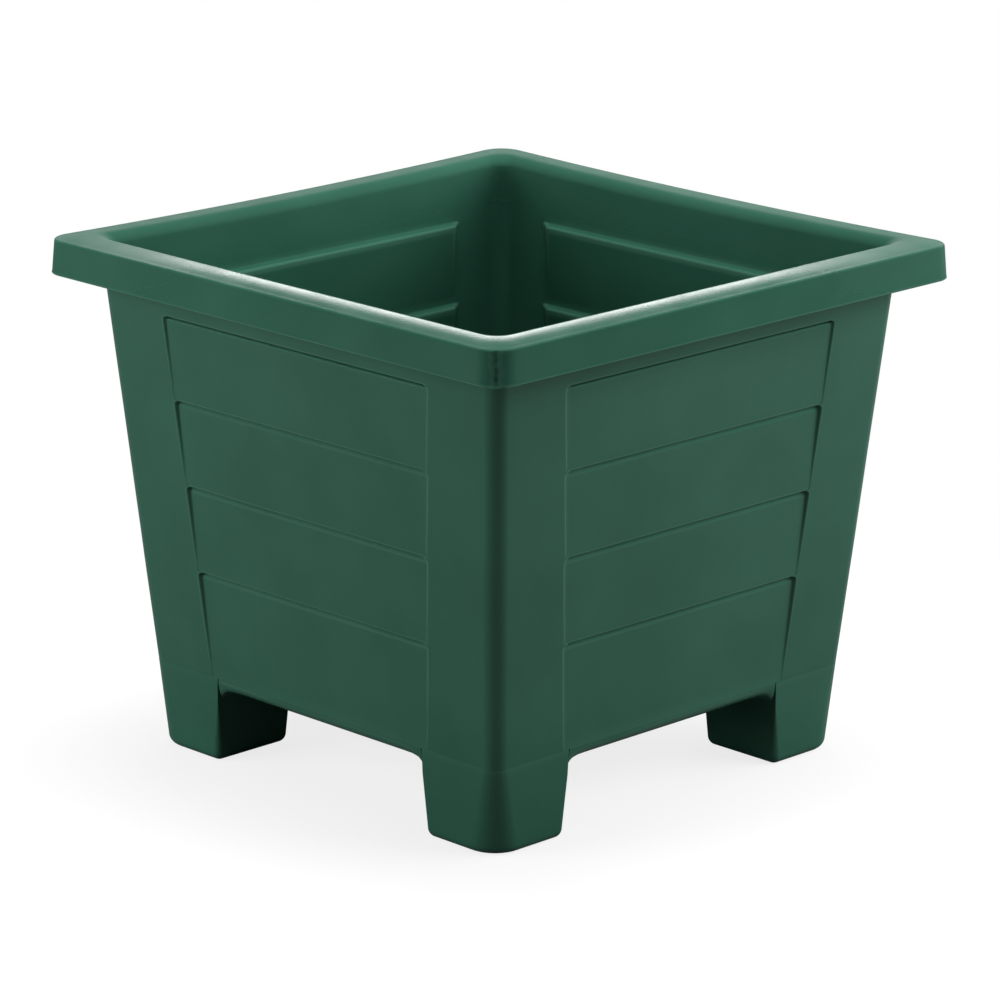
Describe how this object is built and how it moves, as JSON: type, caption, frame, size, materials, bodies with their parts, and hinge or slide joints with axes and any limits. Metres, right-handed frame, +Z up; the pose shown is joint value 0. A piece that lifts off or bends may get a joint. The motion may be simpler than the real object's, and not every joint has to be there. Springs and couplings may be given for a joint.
{
  "type": "square planter",
  "caption": "Square tapered garden planter with lapped plank sides, corner posts, a turned-down rim, push-in feet and pull-out drain plugs.",
  "frame": {"origin": "on the ground, under the middle of the tub", "axes": "+Z up, the walls face along X and Y, and the front wall faces -Y"},
  "size_m": [0.38, 0.38, 0.3118],
  "materials": {
    "tub_plastic": "satin moulded polypropylene, dark green",
    "foot_plastic": "satin moulded polypropylene, dark green",
    "plug_rubber": "soft black rubber"
  },
  "bodies": {
    "planter": {"tub": "tub_plastic", "foot_front_left": "foot_plastic", "foot_front_right": "foot_plastic", "foot_rear_right": "foot_plastic", "foot_rear_left": "foot_plastic"},
    "plug_front_left": {"drain_plug_front_left": "plug_rubber"},
    "plug_front_right": {"drain_plug_front_right": "plug_rubber"},
    "plug_rear_right": {"drain_plug_rear_right": "plug_rubber"},
    "plug_rear_left": {"drain_plug_rear_left": "plug_rubber"}
  },
  "joints": [
    {"name": "plug_front_left_pull", "type": "slide", "parent": "planter", "child": "plug_front_left", "axis": [0, 0, 1], "range_m": [0, 0.06]},
    {"name": "plug_front_right_pull", "type": "slide", "parent": "planter", "child": "plug_front_right", "axis": [0, 0, 1], "range_m": [0, 0.06]},
    {"name": "plug_rear_right_pull", "type": "slide", "parent": "planter", "child": "plug_rear_right", "axis": [0, 0, 1], "range_m": [0, 0.06]},
    {"name": "plug_rear_left_pull", "type": "slide", "parent": "planter", "child": "plug_rear_left", "axis": [0, 0, 1], "range_m": [0, 0.06]}
  ]
}
